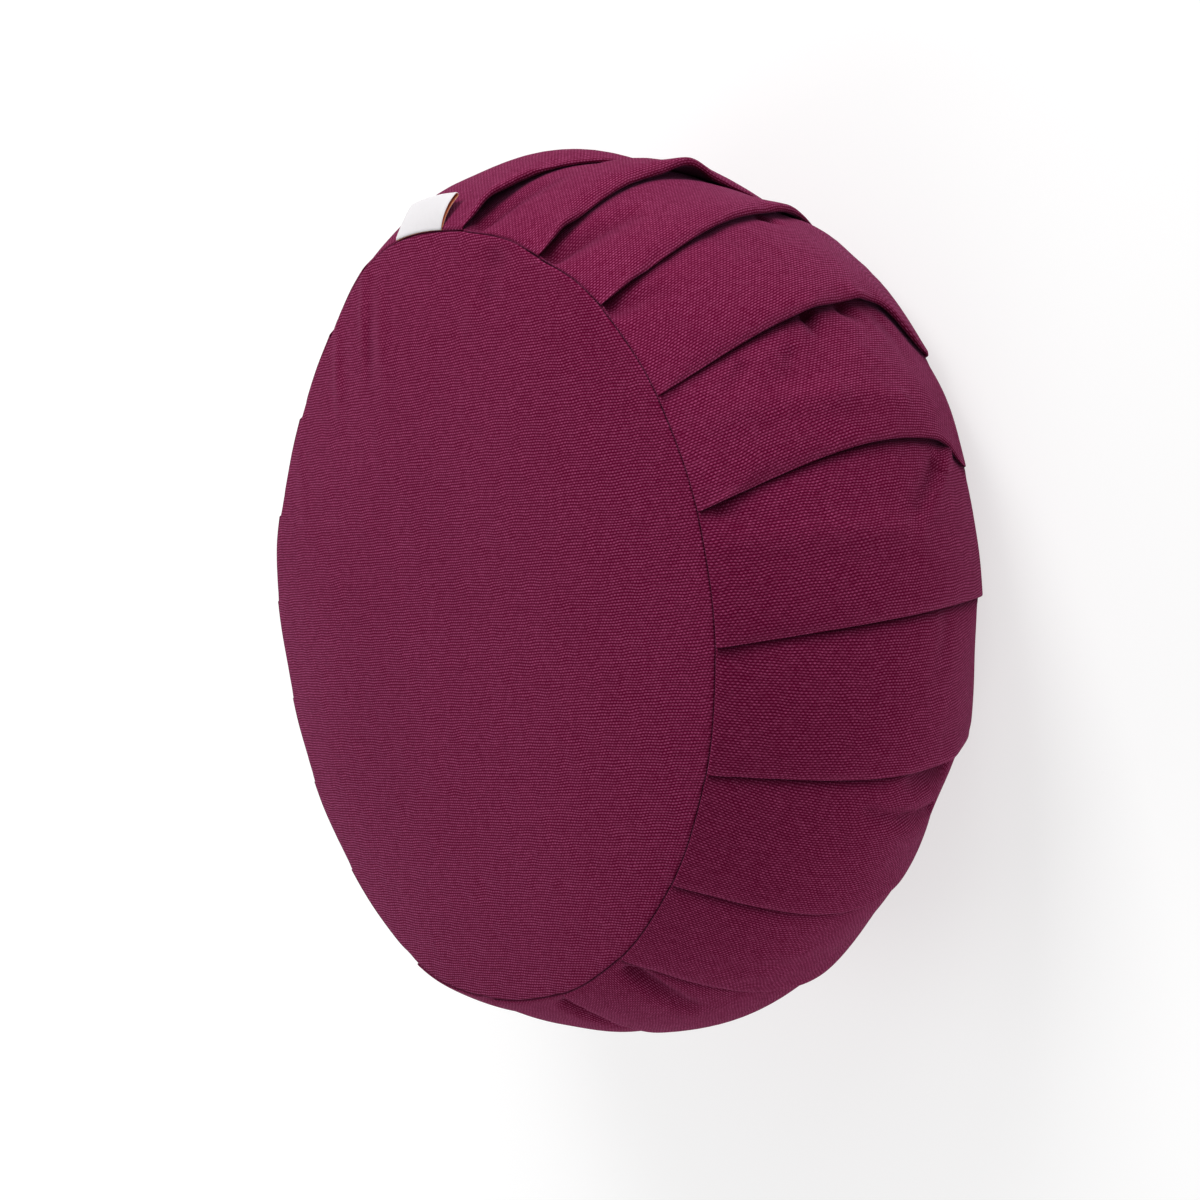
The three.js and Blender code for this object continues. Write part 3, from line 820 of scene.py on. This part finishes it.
for name, node, side in (("top_canvas", "top_panel", 1), ("base_canvas", "base_panel", -1)):
    points = panel_points(side)
    # Painted shade in the top panel's dents and a faint painted highlight on its raised creases, and painted
    # shade on each panel's turned-in edge in the seam
    panel_painted_light = np.zeros(points.shape[:2])
    if side > 0:
        panel_painted_light += PANEL_SHADE * crease_rise(points[..., 0], points[..., 1])
    panel_painted_light[-DARK_ROWS:] = SEAM_SHADE
    panel = cloth_grid(name, points, points[..., :2], panel_painted_light)
    solidify = panel.modifiers.new("cloth", "SOLIDIFY")
    solidify.thickness = CANVAS * MM
    solidify.offset = -1
    panel.data.materials.append(canvas)
    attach(panel, "root")
    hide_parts(node)

# Label
# A short white woven ribbon, folded in half with both ends caught in the top seam. It is blank, and the tan
# threads of its reverse show where the loop stands open.
LABEL_WIDTH = 30
LABEL_TURN = -0.7
LABEL_LENGTH = 14
RIBBON = 0.45
LABEL_OPEN = 0.9
LABEL_ROOT_GAP = 0.15
LABEL_ROOT_OUT = -0.6
LABEL_ROOT_UP = 1.1
LABEL_DROOP = (math.radians(8), math.radians(50))
LABEL_STEPS = 14
FOLD_STEPS = 8
LABEL_STATIONS = 24
SELVEDGE = 0.2
LABEL_SAG = 1.9
LABEL_TWIST = 2
LABEL_FLAT = 1.2
# The reverse has a flat place of its own, this far along from the face's
REVERSE_SHIFT = 100


def label_middle():
    """The ribbon's middle line in (out, up) from the seam: out along the lower layer, round and back."""
    spot = np.array([LABEL_ROOT_OUT, LABEL_ROOT_UP])
    lower = []
    upper = []
    for step in range(LABEL_STEPS + 1):
        share = step / LABEL_STEPS
        droop = LABEL_DROOP[0] + (LABEL_DROOP[1] - LABEL_DROOP[0]) * share
        along = np.array([math.cos(droop), -math.sin(droop)])
        across = np.array([-along[1], along[0]])
        apart = (RIBBON + LABEL_ROOT_GAP + LABEL_OPEN * math.sin(math.pi / 2 * share)) / 2
        lower.append(spot - across * apart)
        upper.append(spot + across * apart)
        tip = spot
        spot = spot + along * LABEL_LENGTH / LABEL_STEPS
    turns_round = [math.pi * (step / FOLD_STEPS - 0.5) for step in range(1, FOLD_STEPS)]
    nose = [tip + apart * (along * math.cos(angle) + across * math.sin(angle)) for angle in turns_round]
    return np.array(lower + nose + upper[::-1])


def label_points():
    """Rows across the ribbon's width, each once round its section: the face, then the reverse."""
    middle = label_middle()
    along = np.gradient(middle, axis=0)
    along /= np.linalg.norm(along, axis=1)[:, None]
    across = np.stack([along[:, 1], -along[:, 0]], axis=1) * RIBBON / 2
    length = np.concatenate([[0], np.cumsum(np.linalg.norm(np.diff(middle, axis=0), axis=1))])
    half = LABEL_WIDTH / 2
    between = np.linspace(SELVEDGE - half, half - SELVEDGE, LABEL_STATIONS)
    stations = np.concatenate([[-half], between, [half]])
    rows = []
    cloth = []
    for station in stations:
        thick = 0 * across if abs(station) == half else across
        face = middle + thick
        section = np.concatenate([face, (middle - thick)[::-1], face[:1]])
        turn = LABEL_TURN + np.degrees(station / SEAM_RADIUS)
        lean = (half - station) / LABEL_WIDTH
        share = np.clip(section[:, 0] / LABEL_LENGTH, 0, 1)
        curl = (LABEL_SAG + LABEL_TWIST * lean) * share + LABEL_FLAT * lean * np.sin(np.pi * share)
        height = TOP_SEAM + section[:, 1] - curl
        rows.append(around(band_radius(turn, 0) + section[:, 0], turn + 0 * height, height))
        places = np.concatenate([length, length[::-1] + REVERSE_SHIFT, [2 * REVERSE_SHIFT]])
        cloth.append(np.stack([places, station + half + 0 * places], axis=-1))
    return np.stack(rows), np.stack(cloth)


RIB = 0.4
RIB_BUMP = 0.1
RIB_BUMP_STRENGTH = 0.4
RIBBON_WHITE = (0.78, 0.76, 0.77, 1)
RIBBON_SHADE = (0.60, 0.58, 0.60, 1)
RIBBON_TAN = (0.72, 0.24, 0.11, 1)
RIBBON_FINISH = {"Roughness": 0.75, "Specular IOR Level": 0.2, "Sheen Weight": 0.1}


def ribbon_material(name):
    """Finely ribbed white ribbon with tan threads floating across its reverse."""
    material = new_material(name, RIBBON_FINISH)
    tree = material.node_tree
    cloth_along = cloth_place(tree)[1]
    rib = calc(tree, "SINE", calc(tree, "MULTIPLY", cloth_along, math.tau / (RIB * MM)))
    rib = calc(tree, "MULTIPLY_ADD", rib, 1 / 2, 1 / 2)
    reverse = calc(tree, "GREATER_THAN", cloth_along, REVERSE_SHIFT * MM)
    colour = dyed(tree, reverse, dyed(tree, rib, RIBBON_SHADE, RIBBON_WHITE), RIBBON_TAN)
    tree.links.new(colour, tree.nodes["Principled BSDF"].inputs["Base Color"])
    raised(tree, rib, RIB_BUMP_STRENGTH, RIB_BUMP)
    return material


ribbon_rows, ribbon_cloth = label_points()
label = cloth_grid("label_ribbon", ribbon_rows, ribbon_cloth)
label.data.materials.append(ribbon_material("white_ribbon"))
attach(label, "root")
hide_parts("label_tab")
